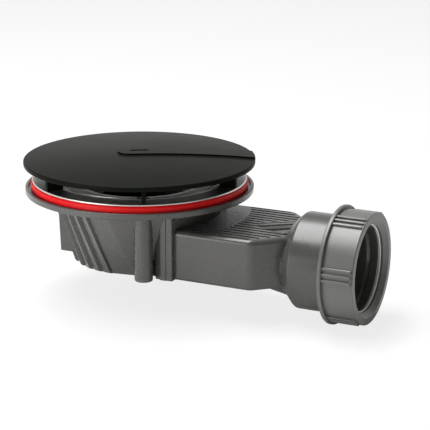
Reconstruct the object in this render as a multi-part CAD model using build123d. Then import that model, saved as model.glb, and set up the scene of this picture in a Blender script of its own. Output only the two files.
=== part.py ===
import os
from math import acos, cos, hypot, radians, sin, sqrt, tan

from build123d import *

# Shower trap with a domed cover, clamped in a round tray hole, with a union nut for the waste pipe.
# Millimetres. Origin on the drain axis at the tray seat (top of the red seal), +Z up, +X to the outlet.

# Clearances
slide_gap = 0.3          # pieces that lift out or turn by hand
seat_gap = 0.1           # pieces that lie against each other
thread_gap = 0.05        # screw in its pilot hole

# Cover: domed disc with a raised finger strip, carried by radial legs
cover_over = 12.5        # reaches past the tray hole
cover_rim_z = 7.7        # underside of the edge above the tray seat
cover_t = 2.4
cover_crown = 3.05
cover_round = 0.6
strip_azimuth = 30.0
strip_w = 13.6
strip_tip = 11.0         # rounded end of the strip, beyond the centre
strip_rise = 0.8
finger_slot_l = 9.5
finger_slot_w = 2.2
finger_slot_depth = 0.9
leg_count = 6
leg_t = 1.8
leg_l = 8.2
leg_slope = 0.5          # how much a leg widens inwards for its height
leg_edge_gap = 0.5       # leg set in from the edge of the tray flange

# Tray flange: stainless pressing with a sunk floor, three screw seats and a collar
tray_hole_d = 90.0
rim_over = 8.3           # rim lies on the tray past its hole
sheet_t = 0.8
pocket_inset = 2.1       # edge of the sunk floor inside the screw seats
pocket_depth = 2.6
pocket_draft = 25.0
seat_round = 2.0         # where the round screw seats widen the floor
rim_round = 0.5
lead_slope = 6.5         # degrees, soft fall of the sheet before the pocket and the collar
lead_w = 3.0
collar_inset = 16.6      # bore of the collar inside the tray hole
collar_depth = 12.0
collar_lip = 2.6

# Screws that pull the tray flange to the body
screw_count = 3
screw_d = 4.2
screw_head_d = 7.0
screw_head_h = 1.7
screw_l = 26.0
driver_slot_w = 1.1
driver_slot_depth = 0.8

# Tray seal
seal_over = 9.1          # outer edge past the tray hole
seal_bore_over = 2.0     # inner edge past the tray hole
seal_t = 4.2
seal_proud = 3.0         # stands above the body's flange
seal_round = 1.4
seal_side_gap = 1.3      # open groove round the seal

# Trap body: flange and tapered bowl
wall = 2.2
bowl_wall = 2.8
flange_over = 2.7        # flange past the seal
body_flange_t = 3.0
bowl_inset = 0.5         # bowl at the flange inside the tray hole
bowl_taper = 11.1
bowl_round = 1.5
hollow_round = 2.0       # inner corner of the bowl's floor
flange_round = 2.0
column_w = 8.8
column_proud = 0.4       # screw columns stand out from the bowl at the flange
screw_inset = 1.9        # screw axis inside the middle of a column's nose
foot_round = 0.5         # lower edges of columns, posts and rear block
rear_block_w = 20.0
rear_block_inset = 2.2   # face of the rear block inside the bowl's edge at the flange
rear_block_draft = 1.5
post_x0 = 26.9           # posts where the duct leaves the bowl
post_w = 6.4
post_proud = 3.0         # posts stand out from the duct wall
post_step = 0.4          # the half of a post next to the duct lies back
strip_beside_w = 3.0     # narrow strip between a post and its screw column
strip_beside_inset = 0.9
flute_count = 6
flute_pitch = 6.4
flute_x = -8.05          # first flute line where the flutes begin
flute_slant = 0.28       # run of a flute line along X for its drop
flute_depth = 1.4
flute_step = 0.7         # slope of the step face, from its edge to its foot

# Flat duct with stripes on its roof
duct_h = 24.7
duct_top_z = -15.9
duct_w = 57.0
duct_l = 17.4            # straight run past the cove
duct_round = 2.4
duct_foot_round = 1.5
duct_corner_round = 5.0
neck_l = 13.5
neck_w = 31.4
cove_run = 11.1          # smooth roof beside the bowl
stripe_pitch = 3.66
stripe_w = 1.7
stripe_depth = 1.1
weir_inset = 8.6         # weir before the edge of the cove
weir_z = -25.5

# Outlet
pipe_d = 40.0
pipe_gap = 0.2
outlet_z = -30.6
spigot_wall = 3.6        # thread core round the pipe
shoulder_gap = 3.1       # shoulder past the end of the neck
shoulder_l = 5.2
shoulder_round = 1.6
root_round = 0.4         # where the shoulder rises from the neck
ramp_back = 9.0          # the cone of the neck comes through the roof this far before its end
ramp_slope = 0.18
bore_step = 2.4          # stop for the pipe past the shoulder
spigot_l = 27.9
cone_l = 4.1             # flared mouth for the outlet seal
cone_flare = 2.4

# Union nut, slip ring and outlet seal
nut_wall = 1.9
nut_thread_gap = 1.5     # room for the thread round the spigot
nut_back = 11.1          # nut reaches back over the spigot
nut_l = 17.15
nut_lip = 1.8
nut_lip_t = 2.0
nut_mouth_gap = 1.2
nut_mouth_flare = 2.4
nut_mouth_land = 0.9
grip_groups = 6
grips_per_group = 3
grip_step = 5.9          # degrees
grip_phase = -6.4
grip_w = 1.5
grip_h = 1.0
slip_ring_t = 1.6
slip_ring_taper = 0.6    # bore widens to the back
outlet_seal_head = 1.0

# Lift-out insert with its dip tube
insert_h = 8.4
insert_rim = 1.9         # flat top of the funnel
dip_inset = 7.4          # dip tube inside the collar
dip_wall = 1.6
dip_end_z = -33.0
bar_w = 5.0
bar_t = 2.6
ring_cord_d = 2.5        # O-ring section
ring_groove_w = 3.0

# Levels and radii that follow
half_sheet = sheet_t / 2
hole_r = tray_hole_d / 2
cover_r = hole_r + cover_over
tray_flange_r = hole_r + rim_over
seat_reach = hole_r - slide_gap - sheet_t
pocket_r = seat_reach - pocket_inset
seal_r = hole_r + seal_over
seal_bore_r = hole_r + seal_bore_over
floor_top_z = sheet_t - pocket_depth
floor_z = floor_top_z - half_sheet
column_top_z = floor_top_z - sheet_t
collar_r = hole_r - collar_inset
dip_r = collar_r - dip_inset
flange_top_z = -seal_proud
flange_bottom_z = flange_top_z - body_flange_t
duct_bottom_z = duct_top_z - duct_h
flange_r = seal_r + flange_over
bowl_top_r = hole_r - bowl_inset
bowl_bottom_r = bowl_top_r - bowl_taper
duct_half = duct_w / 2
neck_half = neck_w / 2
pipe_bore_r = pipe_d / 2 + pipe_gap
screw_angles = [180 + 360 / screw_count * i for i in range(screw_count)]
column_r = bowl_top_r + column_proud - column_w / 2
screw_circle_r = column_r - screw_inset
rear_block_x = bowl_top_r - rear_block_inset
cove_r = bowl_top_r + cove_run
weir_x = cove_r - weir_inset
duct_straight_x = cove_r + duct_l
neck_x = duct_straight_x + neck_l
ramp_x = duct_straight_x - ramp_back
shoulder_x = neck_x + shoulder_gap
bore_x = shoulder_x + bore_step
spigot_end_x = shoulder_x + spigot_l
spigot_r = pipe_d / 2 + spigot_wall
nut_bore_r = spigot_r + nut_thread_gap
nut_r = nut_bore_r + nut_wall
nut_lip_r = nut_r + nut_lip
nut_rear_x = spigot_end_x - nut_back
nut_front_x = nut_rear_x + nut_l
seat_r = seat_reach - screw_circle_r
leg_angles = [360 / leg_count * i for i in range(leg_count)]


def section(points):
    # closed outline from (across, up, corner radius)
    outline = FilletPolyline(*[p[:2] for p in points], radius=[p[2] for p in points], close=True)
    return make_face(outline)


def turned(points):
    return revolve(Plane.XZ * section(points), Axis.Z)


def turned_on_outlet(points):
    return Pos(0, 0, outlet_z) * revolve(Plane.XZ * section(points), Axis.X)


def around(angles, piece):
    return [Rot(0, 0, angle) * piece for angle in angles]


def drum(radius, z_low, z_high, x=0.0, y=0.0):
    return Pos(x, y, z_low) * extrude(Circle(radius), z_high - z_low)


def block(x0, x1, y0, y1, z0, z1):
    return Pos((x0 + x1) / 2, (y0 + y1) / 2, (z0 + z1) / 2) * Box(x1 - x0, y1 - y0, z1 - z0)


def bowl_r(z):
    share = (z - duct_bottom_z) / (flange_bottom_z - duct_bottom_z)
    return bowl_bottom_r + share * (bowl_top_r - bowl_bottom_r)


def ramp_r(x):
    return duct_top_z - outlet_z + ramp_slope * (x - ramp_x)


def cap_arc(r, z_rim, rise):
    # half section of a spherical cap, from the axis to its rim
    ball_r = (r * r + rise * rise) / (2 * rise)
    z_half = z_rim + rise - ball_r + sqrt(ball_r * ball_r - r * r / 4)
    return ThreePointArc((0, z_rim + rise), (r / 2, z_half), (r, z_rim))


def make_cover():
    rim_top_z = cover_rim_z + cover_t
    top_z = rim_top_z + cover_crown
    top_arc = cap_arc(cover_r, rim_top_z, cover_crown)
    under_arc = cap_arc(cover_r, cover_rim_z, cover_crown)
    edge = Line((cover_r, rim_top_z), (cover_r, cover_rim_z))
    spine = Line((0, top_z - cover_t), (0, top_z))
    shell = revolve(Plane.XZ * make_face([top_arc, edge, under_arc, spine]), Axis.Z)
    shell = fillet(shell.edges().filter_by(GeomType.CIRCLE), cover_round)

    # raised strip: the same cap lifted, cut to a band with a rounded end
    strip_start = strip_w / 2 - strip_tip
    band = block(strip_start, 2 * cover_r, -strip_w / 2, strip_w / 2, 0, top_z + cover_crown)
    band += drum(strip_w / 2, 0, top_z + cover_crown, strip_start)
    band = Rot(0, 0, strip_azimuth) * band
    cover = shell + (Pos(0, 0, strip_rise) * shell & band)
    slot = Pos(0, 0, top_z + strip_rise - finger_slot_depth) * extrude(
        SlotOverall(finger_slot_l, finger_slot_w), cover_crown
    )
    cover -= Rot(0, 0, strip_azimuth) * slot

    # legs stand on the rim of the tray flange
    foot_r = tray_flange_r - leg_edge_gap
    root_r = foot_r - leg_l
    outline = Polyline(
        (root_r, sheet_t),
        (foot_r, sheet_t),
        (foot_r, top_z),
        (root_r - leg_slope * (top_z - sheet_t), top_z),
        close=True,
    )
    leg = extrude(Plane.XZ * make_face(outline), leg_t / 2, both=True)
    floor_line = Polyline((cover_r, rim_top_z), (cover_r, 0), (0, 0), (0, top_z))
    under_cover = revolve(Plane.XZ * make_face([top_arc, floor_line]), Axis.Z)
    for placed in around(leg_angles, leg):
        cover += placed & under_cover
    return cover


def sunk(radius):
    # drafted round pocket, from the level it starts at down to its floor
    low_r = radius - pocket_depth * tan(radians(pocket_draft))
    return turned([(0, -pocket_depth, 0), (low_r, -pocket_depth, 0), (radius, 0, 0), (0, 0, 0)])


def pressed(grow):
    # the sunk floor with its screw seats, rounded where they run together
    pocket = sunk(pocket_r + grow)
    pocket += around(screw_angles, Pos(screw_circle_r, 0, 0) * sunk(seat_r + grow))
    joins = [e for e in pocket.edges() if e.geom_type not in (GeomType.LINE, GeomType.CIRCLE)]
    return fillet(joins, seat_round - grow)


def make_tray_flange():
    # pressed into the top and, one sheet wider, into the underside
    flange = drum(tray_flange_r, floor_top_z - sheet_t, sheet_t) - Pos(0, 0, sheet_t) * pressed(0)
    flange = fillet(flange.edges().group_by(Axis.Z)[-1], rim_round)
    lead_r = pocket_r + lead_w
    lead_drop = lead_w * tan(radians(lead_slope))
    over_z = sheet_t + pocket_depth
    flange -= turned([(pocket_r, sheet_t - lead_drop, 0), (lead_r, sheet_t, 0), (lead_r, over_z, 0), (pocket_r, over_z, 0)])
    flange -= drum(tray_flange_r + sheet_t, floor_top_z - 2 * sheet_t, 0) - pressed(sheet_t)

    middle_r = collar_r + half_sheet
    bend_r = 1.25 * sheet_t
    path = FilletPolyline(
        (middle_r + lead_w + 2 * sheet_t, floor_z),
        (middle_r + lead_w, floor_z),
        (middle_r, floor_z - lead_drop),
        (middle_r, -collar_depth),
        (middle_r - collar_lip, -collar_depth),
        radius=bend_r,
    )
    flange -= drum(middle_r + lead_w + sheet_t, floor_top_z - 2 * sheet_t, sheet_t)
    flange += revolve(Plane.XZ * trace(path, sheet_t), Axis.Z)
    hole = drum(screw_d / 2 + slide_gap, floor_z - sheet_t, floor_z + sheet_t, screw_circle_r)
    return flange - around(screw_angles, hole)


def make_flange_screws():
    head_top_z = floor_top_z + screw_head_h
    shank = drum(screw_d / 2, floor_top_z - screw_l, floor_top_z, screw_circle_r)
    head = drum(screw_head_d / 2, floor_top_z, head_top_z, screw_circle_r)
    head = fillet(head.edges().group_by(Axis.Z)[-1], 0.4 * screw_head_h)
    arm = Box(0.6 * screw_head_d, driver_slot_w, 2 * driver_slot_depth)
    for turn in (0, 90):
        head -= Pos(screw_circle_r, 0, head_top_z) * Rot(0, 0, turn) * arm
    return Compound(around(screw_angles, shank + head))


def make_tray_seal():
    return turned(
        [
            (seal_bore_r, -seal_t, 0),
            (seal_r, -seal_t, seal_round),
            (seal_r, 0, seal_round),
            (seal_bore_r, 0, 0),
        ]
    )


def flute_cutter(index):
    # one slanted slat on the front of the bowl: deep at its own line, running out at the line in front of it
    # the front one runs out slowly into the plain wall
    top_z = flange_bottom_z - flange_round
    low_z = duct_bottom_z - 2 * flute_depth
    overrun = 2 * flute_depth
    reach = flute_pitch if index else 2 * flute_pitch
    rings = []
    for z in (top_z, (top_z + low_z) / 2, low_z):
        r = bowl_r(z)
        line_x = flute_x - index * flute_pitch + flute_slant * (top_z - z)
        edge = -acos(line_x / r)
        foot = -acos((line_x + flute_step) / r)
        end = -acos((line_x + reach) / r)
        corners = [(r + overrun, edge), (r, edge), (r - flute_depth, foot), (r, end), (r + overrun, end)]
        rings.append(make_face(Polyline(*[(c * cos(a), c * sin(a), z) for c, a in corners], close=True)))
    return loft(rings, ruled=True)


def duct_prism(inset):
    half = duct_half - inset
    neck = neck_half - inset
    taper = (duct_half - neck_half) / (neck_x - duct_straight_x)
    shift = inset * (sqrt(1 + taper * taper) - 1) / taper
    outline = FilletPolyline(
        (0, -half),
        (duct_straight_x - shift, -half),
        (neck_x - shift, -neck),
        (neck_x - shift, neck),
        (duct_straight_x - shift, half),
        (0, half),
        radius=[0, duct_corner_round, 0, 0, duct_corner_round, 0],
        close=True,
    )
    solid = extrude(make_face(outline), duct_h - 2 * inset)
    return Pos(0, 0, duct_bottom_z + inset) * solid


def stripe_cutter(y):
    # one groove along the roof, over the ramp where it meets it
    taper = (neck_x - duct_straight_x) / (duct_half - neck_half)
    start_x = sqrt(cove_r * cove_r - y * y)
    end_x = duct_straight_x + (duct_half - abs(y) - duct_round) * taper - duct_round
    end_x = min(end_x, shoulder_x - shoulder_l)
    bend_r = hypot(duct_top_z - outlet_z, y)
    bend_x = ramp_x + (bend_r - ramp_r(ramp_x)) / ramp_slope
    groove_z = duct_top_z - stripe_depth
    points = [(start_x, groove_z)]
    if bend_x < end_x:
        end_z = outlet_z + sqrt(ramp_r(end_x) ** 2 - y * y) - stripe_depth
        points += [(bend_x, groove_z), (end_x, end_z)]
    else:
        points += [(end_x, groove_z)]
    clear_z = flange_bottom_z - wall
    points += [(end_x, clear_z), (start_x, clear_z)]
    groove = extrude(Plane.XZ * make_face(Polyline(*points, close=True)), stripe_w / 2, both=True)
    return Pos(0, y, 0) * groove


def make_trap_body():
    edge_round = 0.4
    bowl = turned(
        [
            (0, duct_bottom_z, 0),
            (bowl_bottom_r, duct_bottom_z, bowl_round),
            (bowl_top_r, flange_bottom_z, flange_round),
            (flange_r, flange_bottom_z, edge_round),
            (flange_r, flange_top_z, edge_round),
            (0, flange_top_z, 0),
        ]
    )
    for index in range(flute_count):
        bowl -= flute_cutter(index)

    duct = duct_prism(0)
    duct = fillet(duct.edges().group_by(Axis.Z)[-1], duct_round)
    duct = fillet(duct.edges().group_by(Axis.Z)[0], duct_foot_round)

    # smooth cove from the bowl down to the roof of the duct
    cove_z = flange_bottom_z - edge_round
    inner_r = bowl_bottom_r
    sag = 0.3
    mid = (bowl_top_r + sag * (cove_r - bowl_top_r), duct_top_z + sag * (cove_z - duct_top_z))
    cove_line = ThreePointArc((cove_r, duct_top_z), mid, (bowl_top_r, cove_z))
    cove_rest = Polyline((bowl_top_r, cove_z), (inner_r, cove_z), (inner_r, duct_top_z), (cove_r, duct_top_z))
    cove = revolve(Plane.XZ * make_face([cove_line, cove_rest]), Axis.Z)
    cove &= block(0, cove_r, duct_round - duct_half, duct_half - duct_round, duct_top_z, cove_z)

    # cone of the neck, shoulder and spigot on the outlet axis
    cone_x = ramp_x - (duct_top_z + duct_bottom_z - 2 * outlet_z) / ramp_slope
    root_x = shoulder_x - shoulder_l
    spigot = turned_on_outlet(
        [
            (cone_x, 0, 0),
            (spigot_end_x, 0, 0),
            (spigot_end_x, spigot_r, 0),
            (shoulder_x, spigot_r, shoulder_round),
            (root_x, ramp_r(root_x), root_round),
            (cone_x, ramp_r(cone_x), 0),
        ]
    )
    lining = wall * sqrt(1 + ramp_slope * ramp_slope)
    neck_hollow = turned_on_outlet(
        [
            (weir_x + wall, 0, 0),
            (bore_x, 0, 0),
            (bore_x, ramp_r(bore_x) - lining, 0),
            (weir_x + wall, ramp_r(weir_x + wall) - lining, 0),
        ]
    )

    # screw columns: a round nose outside, a flat back in the bowl, tops under the tray flange
    half_column = column_w / 2
    column_in = bowl_bottom_r - wall / 2
    column = drum(half_column, duct_bottom_z, column_top_z, column_r)
    column += block(column_in, column_r, -half_column, half_column, duct_bottom_z, column_top_z)
    column = fillet(column.edges().group_by(Axis.Z)[0], foot_round)
    rear_line = Polyline(
        (-rear_block_x, flange_bottom_z),
        (rear_block_draft - rear_block_x, duct_bottom_z),
        (0, duct_bottom_z),
        (0, flange_bottom_z),
        close=True,
    )
    rear = extrude(Plane.XZ * make_face(rear_line), rear_block_w / 2, both=True)
    rear = fillet(rear.faces().sort_by(Axis.X)[0].edges(), foot_round)
    post_y = duct_half + post_proud
    beside_x = post_x0 - strip_beside_w
    beside_y = post_y - strip_beside_inset
    low_y = post_y - post_step
    middle_x = post_x0 + post_w / 2
    outline = FilletPolyline(
        (beside_x, -beside_y),
        (post_x0, -beside_y),
        (post_x0, -post_y),
        (middle_x, -post_y),
        (middle_x, -low_y),
        (post_x0 + post_w, -low_y),
        (post_x0 + post_w, 0),
        (beside_x, 0),
        radius=[strip_beside_inset, 0, foot_round, 0, 0, foot_round, 0, 0],
        close=True,
    )
    post = Pos(0, 0, duct_bottom_z) * extrude(make_face(outline), flange_bottom_z - duct_bottom_z)
    posts = post + mirror(post, Plane.XZ)

    hollow = turned(
        [
            (0, duct_bottom_z + wall, 0),
            (bowl_bottom_r - bowl_wall, duct_bottom_z + wall, hollow_round),
            (bowl_top_r - bowl_wall, flange_bottom_z, 0),
            (bowl_top_r - bowl_wall, flange_top_z + wall, 0),
            (0, flange_top_z + wall, 0),
        ]
    )
    pipe_bore = turned_on_outlet(
        [
            (bore_x, 0, 0),
            (spigot_end_x + wall, 0, 0),
            (spigot_end_x + wall, pipe_bore_r + cone_flare, 0),
            (spigot_end_x, pipe_bore_r + cone_flare, 0),
            (spigot_end_x - cone_l, pipe_bore_r, 0),
            (bore_x, pipe_bore_r, 0),
        ]
    )

    body = bowl + rear + posts + duct + cove + spigot
    body -= [stripe_cutter(i * stripe_pitch) for i in stripe_rows()]
    body -= hollow
    body -= duct_prism(wall)
    body -= neck_hollow
    body -= pipe_bore
    body += around(screw_angles, column)
    body += block(weir_x, weir_x + wall, -duct_half + wall, duct_half - wall, duct_bottom_z + wall, weir_z)

    groove_in = seal_bore_r - slide_gap
    groove_out = seal_r + seal_side_gap
    body -= drum(groove_out, -seal_t, flange_top_z + wall) - drum(groove_in, -seal_t, flange_top_z + wall)
    pilot_z = floor_top_z - screw_l - wall
    pilot = drum(screw_d / 2 + thread_gap, pilot_z, floor_top_z, screw_circle_r)
    return body - around(screw_angles, pilot)


def stripe_rows():
    # stripes are centred on the duct and stay on the flat of its roof
    reach = int((duct_half - duct_round) / stripe_pitch)
    return range(-reach, reach + 1)


def insert_levels():
    # underside on the lip of the collar, then the middle of the ring groove, then the top
    low_z = half_sheet - collar_depth
    return low_z, low_z + insert_h / 2, low_z + insert_h


def make_trap_insert():
    low_z, groove_z, top_z = insert_levels()
    rim_r = collar_r - slide_gap
    insert = turned(
        [
            (dip_r - dip_wall, dip_end_z, 0),
            (dip_r, dip_end_z, 0),
            (dip_r, low_z, 0),
            (rim_r, low_z, slide_gap),
            (rim_r, top_z, slide_gap),
            (rim_r - insert_rim, top_z, 0),
            (dip_r - dip_wall, low_z + wall, wall),
        ]
    )
    groove = drum(rim_r + wall, groove_z - ring_groove_w / 2, groove_z + ring_groove_w / 2)
    groove -= drum(collar_r - ring_cord_d, groove_z - ring_groove_w, groove_z + ring_groove_w)
    bar_r = rim_r - insert_rim
    bar = block(-bar_r, bar_r, -bar_w / 2, bar_w / 2, top_z - bar_t, top_z)
    return insert - groove + bar


def make_insert_seal():
    ring = Torus(collar_r - ring_cord_d / 2, ring_cord_d / 2 - seat_gap)
    return Pos(0, 0, insert_levels()[1]) * ring


def make_outlet_seal():
    # wedge in the flared mouth of the spigot, with a head that the slip ring presses
    bore_r = pipe_bore_r + seat_gap
    small_x = spigot_end_x - cone_l / 2
    head_x = spigot_end_x + seat_gap
    flare = cone_flare / cone_l
    root_r = pipe_bore_r + flare * (cone_l / 2) - seat_gap
    mouth_r = pipe_bore_r + cone_flare - seat_gap
    return turned_on_outlet(
        [
            (small_x, bore_r, 0),
            (small_x, root_r, 0),
            (spigot_end_x, mouth_r, 0),
            (head_x, mouth_r, 0),
            (head_x, spigot_r - seat_gap, 0),
            (head_x + outlet_seal_head, spigot_r - seat_gap, 0),
            (head_x + outlet_seal_head, bore_r, 0),
        ]
    )


def slip_ring_x():
    return spigot_end_x + outlet_seal_head + 2 * seat_gap


def make_slip_ring():
    x = slip_ring_x()
    inner_r = pipe_bore_r + slide_gap
    outer_r = nut_bore_r - slide_gap
    edge_round = 0.3
    return turned_on_outlet(
        [
            (x, inner_r + slip_ring_taper, edge_round),
            (x + slip_ring_t, inner_r, edge_round),
            (x + slip_ring_t, outer_r, edge_round),
            (x, outer_r, edge_round),
        ]
    )


def make_outlet_nut():
    web_x = slip_ring_x() + slip_ring_t + seat_gap
    mouth_r = pipe_d / 2 + nut_mouth_gap
    edge_round = 0.5
    nut = turned_on_outlet(
        [
            (nut_rear_x, nut_bore_r, 0),
            (web_x, nut_bore_r, 0),
            (web_x, mouth_r, 0),
            (web_x + nut_mouth_land, mouth_r, 0),
            (nut_front_x, mouth_r + nut_mouth_flare, 0),
            (nut_front_x, nut_r, edge_round),
            (nut_rear_x + nut_lip_t, nut_r, 0),
            (nut_rear_x + nut_lip_t, nut_lip_r, edge_round),
            (nut_rear_x, nut_lip_r, edge_round),
        ]
    )
    grip_x0 = nut_rear_x + nut_lip_t / 2
    grip_x1 = nut_front_x - 2 * edge_round
    grip = block(grip_x0, grip_x1, nut_r - grip_h, nut_r + grip_h, -grip_w / 2, grip_w / 2)
    long_edges = grip.edges().filter_by(Axis.X).group_by(Axis.Y)[-1]
    grip = fillet(long_edges, 0.3 * grip_w)
    for group in range(grip_groups):
        for rib in range(grips_per_group):
            turn = grip_phase + 360 / grip_groups * group + grip_step * (rib - (grips_per_group - 1) / 2)
            nut += Pos(0, 0, outlet_z) * Rot(turn, 0, 0) * grip
    return nut


os.makedirs("parts", exist_ok=True)
pieces = {
    "cover": make_cover(),
    "tray_flange": make_tray_flange(),
    "flange_screws": make_flange_screws(),
    "tray_seal": make_tray_seal(),
    "trap_body": make_trap_body(),
    "trap_insert": make_trap_insert(),
    "insert_seal": make_insert_seal(),
    "outlet_seal": make_outlet_seal(),
    "slip_ring": make_slip_ring(),
    "outlet_nut": make_outlet_nut(),
}
for node, piece in pieces.items():
    export_step(piece, f"parts/{node}.step")
    print(node, len(piece.solids()), "solids", round(piece.volume / 1000, 2), "cm3")
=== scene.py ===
import math

import bmesh
import bpy
from mathutils import Matrix, Vector


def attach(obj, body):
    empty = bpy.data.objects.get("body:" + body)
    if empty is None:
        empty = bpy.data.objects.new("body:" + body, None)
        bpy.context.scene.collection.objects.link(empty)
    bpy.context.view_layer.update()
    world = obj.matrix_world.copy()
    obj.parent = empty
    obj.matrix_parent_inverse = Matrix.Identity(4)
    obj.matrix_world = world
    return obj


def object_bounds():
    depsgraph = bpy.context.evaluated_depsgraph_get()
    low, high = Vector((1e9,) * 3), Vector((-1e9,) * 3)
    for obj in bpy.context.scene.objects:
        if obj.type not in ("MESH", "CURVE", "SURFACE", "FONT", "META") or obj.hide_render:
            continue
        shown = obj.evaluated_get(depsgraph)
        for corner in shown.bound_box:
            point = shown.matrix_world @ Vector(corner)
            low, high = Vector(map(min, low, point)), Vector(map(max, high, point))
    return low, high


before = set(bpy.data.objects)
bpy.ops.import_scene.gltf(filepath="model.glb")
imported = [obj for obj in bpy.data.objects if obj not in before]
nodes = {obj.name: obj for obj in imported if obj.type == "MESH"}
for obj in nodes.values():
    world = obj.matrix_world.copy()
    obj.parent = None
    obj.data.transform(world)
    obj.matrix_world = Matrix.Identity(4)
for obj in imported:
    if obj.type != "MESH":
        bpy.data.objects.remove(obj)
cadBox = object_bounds()
mm = 0.001
white = (1.0, 1.0, 1.0, 1.0)
noiseSpan = {"From Min": 0.3, "From Max": 0.7}  # nearly all of a noise lies between these
print("shower trap: frame loaded, nodes", sorted(nodes))


def hexColour(text):
    # sRGB hex to linear
    channels = [int(text[i:i + 2], 16) / 255 for i in (1, 3, 5)]
    linear = [c / 12.92 if c <= 0.04045 else ((c + 0.055) / 1.055) ** 2.4 for c in channels]
    return (*linear, 1.0)


def addNode(tree, kind, values=None, links=None, **settings):
    node = tree.nodes.new(kind)
    for name, value in settings.items():
        setattr(node, name, value)
    for socket, value in (values or {}).items():
        node.inputs[socket].default_value = value
    for socket, source in (links or {}).items():
        tree.links.new(source, node.inputs[socket])
    return node


def addMath(tree, operation, first, second):
    return addNode(tree, "ShaderNodeMath", None, {0: first, 1: second}, operation=operation).outputs[0]


def perMetre(sizeMm):
    # noise scale whose cells are about this size
    return 1 / (sizeMm * mm)


def startMaterial(name):
    material = bpy.data.materials.new(name)
    material.use_nodes = True
    tree = material.node_tree
    tree.nodes.clear()
    place = addNode(tree, "ShaderNodeTexCoord").outputs["Object"]
    return material, tree, place


def endMaterial(tree, shader):
    addNode(tree, "ShaderNodeOutputMaterial", links={"Surface": shader.outputs[0]})


def addNoise(tree, place, sizeMm, **values):
    sockets = {"Scale": perMetre(sizeMm)}
    sockets.update({name.capitalize(): value for name, value in values.items()})
    return addNode(tree, "ShaderNodeTexNoise", sockets, {"Vector": place}).outputs["Fac"]


def addTint(tree, look, share):
    tint = addNode(tree, "ShaderNodeMix", links={"Factor": share}, data_type="RGBA")
    tint.inputs["A"].default_value = hexColour(look["dark"])
    tint.inputs["B"].default_value = hexColour(look["light"])
    return tint.outputs["Result"]


def addGloss(tree, look, share):
    low, high = look["roughnessSpread"]
    span = dict(noiseSpan, **{"To Min": look["roughness"] - low, "To Max": look["roughness"] + high})
    return addNode(tree, "ShaderNodeMapRange", span, {"Value": share}).outputs["Result"]


def addBump(tree, strength, depthMm, height):
    values = {"Strength": strength, "Distance": depthMm * mm}
    return addNode(tree, "ShaderNodeBump", values, {"Height": height}).outputs["Normal"]


def addObject(name, data):
    thing = bpy.data.objects.new(name, data)
    bpy.context.scene.collection.objects.link(thing)
    return thing


def wear(nodeName, material):
    slots = nodes[nodeName].data.materials
    slots.clear()
    slots.append(material)


# Thermoplastics, injection moulded: dense colour with a faint cloud of flow and a fine spark-eroded grain,
# so highlights are broad and soft at their edges
def mouldedPlastic(name, look):
    material, tree, place = startMaterial(name)
    cloud = addNoise(tree, place, look["cloudMm"], detail=3.0, roughness=0.55)
    grain = addNoise(tree, place, look["grainMm"], detail=2.0, roughness=0.6)
    values = {"IOR": look["ior"], "Specular IOR Level": look["specular"],
              "Specular Tint": hexColour(look["glossTint"])}
    links = {
        "Base Color": addTint(tree, look, cloud),
        "Roughness": addGloss(tree, look, cloud),
        "Normal": addBump(tree, look["grainStrength"], look["grainDepthMm"], grain),
    }
    endMaterial(tree, addNode(tree, "ShaderNodeBsdfPrincipled", values, links))
    return material


# EPDM and silicone rubber, compression moulded: even colour, close matt skin with a low broad sheen
def mouldedRubber(name, look):
    material, tree, place = startMaterial(name)
    cloud = addNoise(tree, place, look["cloudMm"], detail=2.0)
    skin = addNoise(tree, place, look["grainMm"], detail=2.0)
    values = {"IOR": look["ior"], "Roughness": look["roughness"], "Specular IOR Level": look["specular"]}
    links = {
        "Base Color": addTint(tree, look, cloud),
        "Normal": addBump(tree, look["grainStrength"], look["grainDepthMm"], skin),
    }
    endMaterial(tree, addNode(tree, "ShaderNodeBsdfPrincipled", values, links))
    return material


# Stainless steel, pressed and polished on a lathe: soft mirror with faint rings that streak the reflections
def polishedStainless(name, look):
    material, tree, place = startMaterial(name)
    flat = addNode(tree, "ShaderNodeVectorMath", {1: (1.0, 1.0, 0.0)}, {0: place}, operation="MULTIPLY")
    radius = addNode(tree, "ShaderNodeVectorMath", links={0: flat.outputs["Vector"]}, operation="LENGTH")
    rings = addNode(tree, "ShaderNodeTexNoise", {"Scale": perMetre(look["ringMm"]), "Detail": 3.0},
                    {"W": radius.outputs["Value"]}, noise_dimensions="1D").outputs["Fac"]
    values = {"Base Color": hexColour(look["colour"]), "Metallic": 1.0}
    links = {
        "Roughness": addGloss(tree, look, rings),
        "Normal": addBump(tree, look["ringStrength"], look["ringDepthMm"], rings),
    }
    endMaterial(tree, addNode(tree, "ShaderNodeBsdfPrincipled", values, links))
    return material


bodyLook = {
    "dark": "#464644", "light": "#504f4e", "cloudMm": 16, "grainMm": 0.5, "grainStrength": 0.25,
    "grainDepthMm": 0.03, "roughness": 0.27, "roughnessSpread": (0.02, 0.02), "ior": 1.49,
    "specular": 0.6, "glossTint": "#ffffff",
}
greyPolypropylene = mouldedPlastic("grey_moulded_polypropylene", bodyLook)
wear("trap_body", greyPolypropylene)

nutLook = dict(bodyLook, dark="#5a5a58", light="#646462", roughness=0.42, specular=0.85)
nutPolypropylene = mouldedPlastic("nut_moulded_polypropylene", nutLook)
wear("outlet_nut", nutPolypropylene)

coverLook = dict(bodyLook, dark="#11130e", light="#151712", cloudMm=24, grainMm=0.4, roughness=0.34,
                 specular=0.022, glossTint="#fffdf0")
wear("cover", mouldedPlastic("black_moulded_abs", coverLook))

insertLook = dict(bodyLook, dark="#2c2d30", light="#343538")
wear("trap_insert", mouldedPlastic("insert_moulded_polypropylene", insertLook))

slipLook = dict(bodyLook, dark="#eeeeea", light="#f4f4f0", roughness=0.4)
wear("slip_ring", mouldedPlastic("white_moulded_polyethylene", slipLook))

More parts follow.
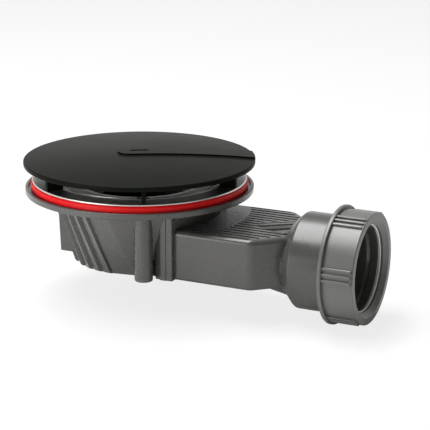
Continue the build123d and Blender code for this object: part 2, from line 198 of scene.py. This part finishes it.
redSealLook = {
    "dark": "#e6080e", "light": "#f00c12", "cloudMm": 10, "grainMm": 0.6, "grainStrength": 0.2,
    "grainDepthMm": 0.02, "roughness": 0.5, "ior": 1.5, "specular": 0.3,
}
wear("tray_seal", mouldedRubber("red_moulded_silicone_rubber", redSealLook))

blackSealLook = dict(redSealLook, dark="#121212", light="#181818", cloudMm=8, specular=0.4)
wear("insert_seal", mouldedRubber("black_moulded_epdm_rubber", blackSealLook))

greySealLook = dict(blackSealLook, dark="#444442", light="#4c4c4a")
wear("outlet_seal", mouldedRubber("grey_moulded_epdm_rubber", greySealLook))

flangeLook = {
    "colour": "#d6d5d0", "ringMm": 0.5, "ringStrength": 0.05, "ringDepthMm": 0.02,
    "roughness": 0.34, "roughnessSpread": (0.03, 0.05),
}
wear("tray_flange", polishedStainless("polished_stainless_pressing", flangeLook))

screwLook = dict(flangeLook, colour="#bfbfbc", ringMm=0.3, roughness=0.22)
wear("flange_screws", polishedStainless("bright_stainless_screw", screwLook))
print("materials on", len(nodes), "nodes")


# Coarse round-cornered pipe thread: a raised helix on the spigot and its match inside the nut.
# Both advance along +X with a right-hand turn, so the nut stays in mesh as it unscrews.
threadLook = {
    "pitchMm": 4.0, "axisZMm": -30.6, "ridgeMm": 1.6, "crestMm": 0.7, "stepsPerTurn": 96,
    "runOutTurns": 0.12, "leastHeight": 0.02,
}
spigotThread = {"rootMm": 23.55, "crestRMm": 24.75, "startMm": 108.6, "endMm": 115.6, "phaseMm": 100.0}
nutThread = {"rootMm": 25.15, "crestRMm": 23.95, "startMm": 107.6, "endMm": 117.4, "phaseMm": 102.0}


def threadRow(mesh, spec, i, steps):
    # four corners of the ridge, which rises from nothing at both ends of the thread
    along = spec["startMm"] + (spec["endMm"] - spec["startMm"]) * i / steps
    angle = 2 * math.pi * (along - spec["phaseMm"]) / threadLook["pitchMm"]
    fromEnd = min(i, steps - i) / threadLook["stepsPerTurn"]
    fade = min(1.0, fromEnd / threadLook["runOutTurns"])
    fade = fade * fade * (3 - 2 * fade)
    root = spec["rootMm"]
    crest = root + (spec["crestRMm"] - root) * max(fade, threadLook["leastHeight"])
    halfRoot = threadLook["ridgeMm"] / 2
    halfCrest = threadLook["crestMm"] / 2
    shape = [(-halfRoot, root), (-halfCrest, crest), (halfCrest, crest), (halfRoot, root)]
    return [
        mesh.verts.new(((along + offset) * mm, r * mm * math.cos(angle),
                        threadLook["axisZMm"] * mm + r * mm * math.sin(angle)))
        for offset, r in shape
    ]


def threadPiece(name, spec, body, material):
    turns = (spec["endMm"] - spec["startMm"]) / threadLook["pitchMm"]
    steps = int(turns * threadLook["stepsPerTurn"])
    mesh = bmesh.new()
    rows = [threadRow(mesh, spec, i, steps) for i in range(steps + 1)]
    corners = len(rows[0])
    for a, b in zip(rows, rows[1:]):
        for k in range(corners):
            n = (k + 1) % corners
            mesh.faces.new((a[k], a[n], b[n], b[k]))
    mesh.faces.new(rows[0][::-1])
    mesh.faces.new(rows[-1])
    bmesh.ops.recalc_face_normals(mesh, faces=mesh.faces)
    data = bpy.data.meshes.new(name)
    mesh.to_mesh(data)
    mesh.free()
    piece = addObject(name, data)
    data.materials.append(material)
    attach(piece, body)


threadPiece("spigot_thread", spigotThread, "trap", greyPolypropylene)
threadPiece("nut_thread", nutThread, "nut", nutPolypropylene)
print("threads added")


# Pale floor under the nut: white to the camera and to reflections, with the object's soft shadow
floorLook = {
    "colour": "#e6e6e4", "sizeM": 8.0, "gapMm": 0.1, "toothMm": 1.5, "toothStrength": 0.05,
    "toothDepthMm": 0.05, "whiteSeen": 0.8, "whiteMirrored": 0.12,
}


def mirroredRay(tree, path):
    return addMath(tree, "MAXIMUM", path.outputs["Is Glossy Ray"], path.outputs["Is Transmission Ray"])


def makeFloor():
    low = cadBox[0][2] - floorLook["gapMm"] * mm
    half = floorLook["sizeM"] / 2
    corners = [(-half, -half, low), (half, -half, low), (half, half, low), (-half, half, low)]
    data = bpy.data.meshes.new("studio_floor")
    data.from_pydata(corners, [], [(0, 1, 2, 3)])
    floor = addObject("studio_floor", data)
    material, tree, place = startMaterial("studio_paper")
    tooth = addNoise(tree, place, floorLook["toothMm"])
    bump = addBump(tree, floorLook["toothStrength"], floorLook["toothDepthMm"], tooth)
    paper = addNode(tree, "ShaderNodeBsdfDiffuse", {"Color": hexColour(floorLook["colour"])}, {"Normal": bump})
    plainWhite = addNode(tree, "ShaderNodeEmission", {"Color": white, "Strength": 1.0})
    path = addNode(tree, "ShaderNodeLightPath")
    inMirror = addNode(tree, "ShaderNodeMath", {1: floorLook["whiteMirrored"]},
                       {0: mirroredRay(tree, path)}, operation="MULTIPLY")
    share = addNode(tree, "ShaderNodeMath", {1: floorLook["whiteSeen"]},
                    {0: path.outputs["Is Camera Ray"], 2: inMirror.outputs[0]}, operation="MULTIPLY_ADD")
    mixed = addNode(tree, "ShaderNodeMixShader",
                    links={0: share.outputs[0], 1: paper.outputs[0], 2: plainWhite.outputs[0]})
    endMaterial(tree, mixed)
    data.materials.append(material)


makeFloor()


# Studio: a low white backdrop behind in a darker room, a soft box and a narrow strip overhead
# and a small fill low in front
studioLook = {
    "roomLevel": 0.22, "frontGloss": 0.15, "highGloss": 0.2, "backdropTo": (-0.43, 0.90, 0.0),
    "facingSpan": (-0.5, 0.3), "heightSpan": (0.15, 0.62),
}
softBoxes = [
    {"name": "overhead_box", "at": (-0.23, -0.07, 0.88), "to": (-0.23, -0.07, 0.0),
     "sizeM": (0.5, 0.95), "power": 13.0},
    {"name": "edge_strip", "at": (-0.20, 0.18, 0.88), "to": (-0.20, 0.18, 0.0),
     "sizeM": (0.12, 0.5), "power": 2.6},
    {"name": "front_fill", "at": (-0.09, -0.24, 0.02), "to": (-0.015, -0.03, -0.02),
     "sizeM": (0.14, 0.1), "power": 0.22},
]


def addSmoothStep(tree, span, low, high, source):
    values = {"From Min": span[0], "From Max": span[1], "To Min": low, "To Max": high}
    step = addNode(tree, "ShaderNodeMapRange", values, {"Value": source}, interpolation_type="SMOOTHSTEP")
    return step.outputs["Result"]


def makeSky():
    world = bpy.data.worlds.new("studio")
    bpy.context.scene.world = world
    world.use_nodes = True
    tree = world.node_tree
    tree.nodes.clear()
    path = addNode(tree, "ShaderNodeLightPath")
    way = addNode(tree, "ShaderNodeTexCoord").outputs["Generated"]
    facing = addNode(tree, "ShaderNodeVectorMath", {1: studioLook["backdropTo"]}, {0: way},
                     operation="DOT_PRODUCT")
    height = addNode(tree, "ShaderNodeSeparateXYZ", links={0: way})
    behind = addSmoothStep(tree, studioLook["facingSpan"], studioLook["frontGloss"], 1.0, facing.outputs["Value"])
    under = addSmoothStep(tree, studioLook["heightSpan"], 1.0, studioLook["highGloss"], height.outputs["Z"])
    backdrop = addMath(tree, "MULTIPLY", behind, under)
    inMirror = addNode(tree, "ShaderNodeMix", {"A": studioLook["roomLevel"]},
                       {"Factor": mirroredRay(tree, path), "B": backdrop})
    level = addNode(tree, "ShaderNodeMix", {"B": 1.0},
                    {"Factor": path.outputs["Is Camera Ray"], "A": inMirror.outputs["Result"]})
    sky = addNode(tree, "ShaderNodeBackground", {"Color": white}, {"Strength": level.outputs["Result"]})
    addNode(tree, "ShaderNodeOutputWorld", links={"Surface": sky.outputs[0]})


def makeSoftBox(box):
    lamp = bpy.data.lights.new(box["name"], "AREA")
    lamp.shape = "RECTANGLE"
    lamp.size, lamp.size_y = box["sizeM"]
    lamp.energy = box["power"]
    holder = addObject(box["name"], lamp)
    holder.location = box["at"]
    aim = Vector(box["to"]) - Vector(box["at"])
    holder.rotation_euler = aim.to_track_quat("-Z", "Y").to_euler()


makeSky()
for softBox in softBoxes:
    makeSoftBox(softBox)
print("studio set")


# Camera at the photo's angle: 25 degrees round from the duct side, 16 degrees up
cameraLook = {
    "at": (0.36122, -0.67946, 0.20248),
    "right": (0.90445, 0.42656, 0.00281),
    "up": (-0.12078, 0.24978, 0.96074),
    "back": (0.40911, -0.86928, 0.27744),
    "lensMm": 133.52,
    "sensorMm": 36.0,
    "clipEndM": 50.0,
}


def makeCamera():
    data = bpy.data.cameras.new("photo_camera")
    data.sensor_width = cameraLook["sensorMm"]
    data.lens = cameraLook["lensMm"]
    data.clip_end = cameraLook["clipEndM"]
    camera = addObject("photo_camera", data)
    turn = Matrix((cameraLook["right"], cameraLook["up"], cameraLook["back"])).transposed().to_4x4()
    camera.matrix_world = Matrix.Translation(cameraLook["at"]) @ turn
    bpy.context.scene.camera = camera


makeCamera()
bpy.context.scene.view_settings.view_transform = "Standard"
print("camera set")
